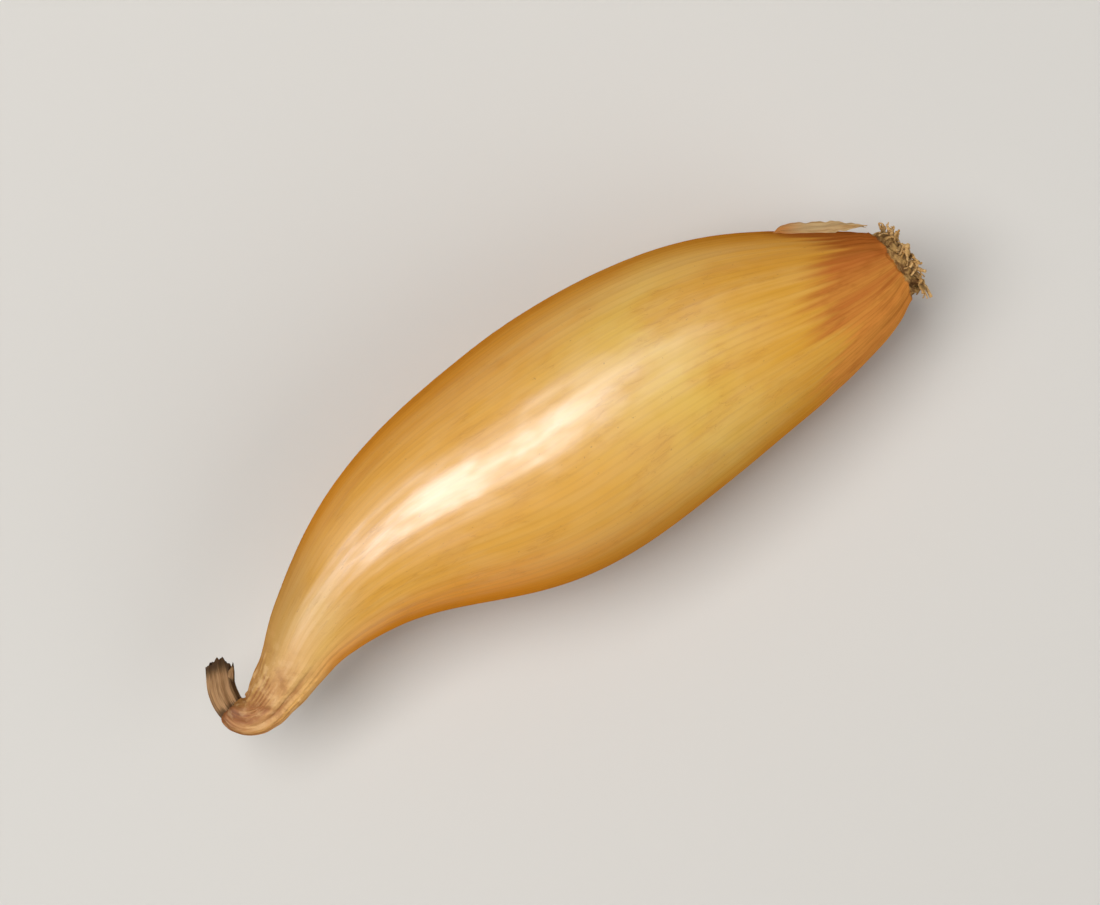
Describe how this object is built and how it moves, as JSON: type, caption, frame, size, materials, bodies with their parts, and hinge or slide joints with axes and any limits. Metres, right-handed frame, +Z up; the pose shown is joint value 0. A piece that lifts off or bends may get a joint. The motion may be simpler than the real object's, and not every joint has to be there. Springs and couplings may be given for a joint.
{
  "type": "onion set",
  "caption": "Slender golden onion set lying on its belly, with a hooked withered neck, dry papery skin and short dried roots.",
  "frame": {"origin": "the middle of the bounding box, on the surface that the bulb lies on", "axes": "+X along the bulb towards its roots, +Y towards the side that the neck hooks to, +Z up"},
  "size_m": [0.0608, 0.019, 0.018],
  "materials": {
    "golden_skin": "satin",
    "dry_root": "matte",
    "withered_leaf": "matte",
    "loose_skin": "satin"
  },
  "bodies": {
    "root": {"bulb": "golden_skin", "root_01": "dry_root", "root_02": "dry_root", "root_03": "dry_root", "root_04": "dry_root", "root_05": "dry_root", "root_06": "dry_root", "root_07": "dry_root", "root_08": "dry_root", "root_09": "dry_root", "root_10": "dry_root", "root_11": "dry_root", "root_12": "dry_root", "root_13": "dry_root", "root_14": "dry_root", "root_15": "dry_root", "root_16": "dry_root", "root_17": "dry_root", "root_18": "dry_root", "root_19": "dry_root", "root_20": "dry_root", "withered_leaf": "withered_leaf", "withered_leaf_spike": "withered_leaf", "loose_skin": "loose_skin"}
  },
  "joints": []
}
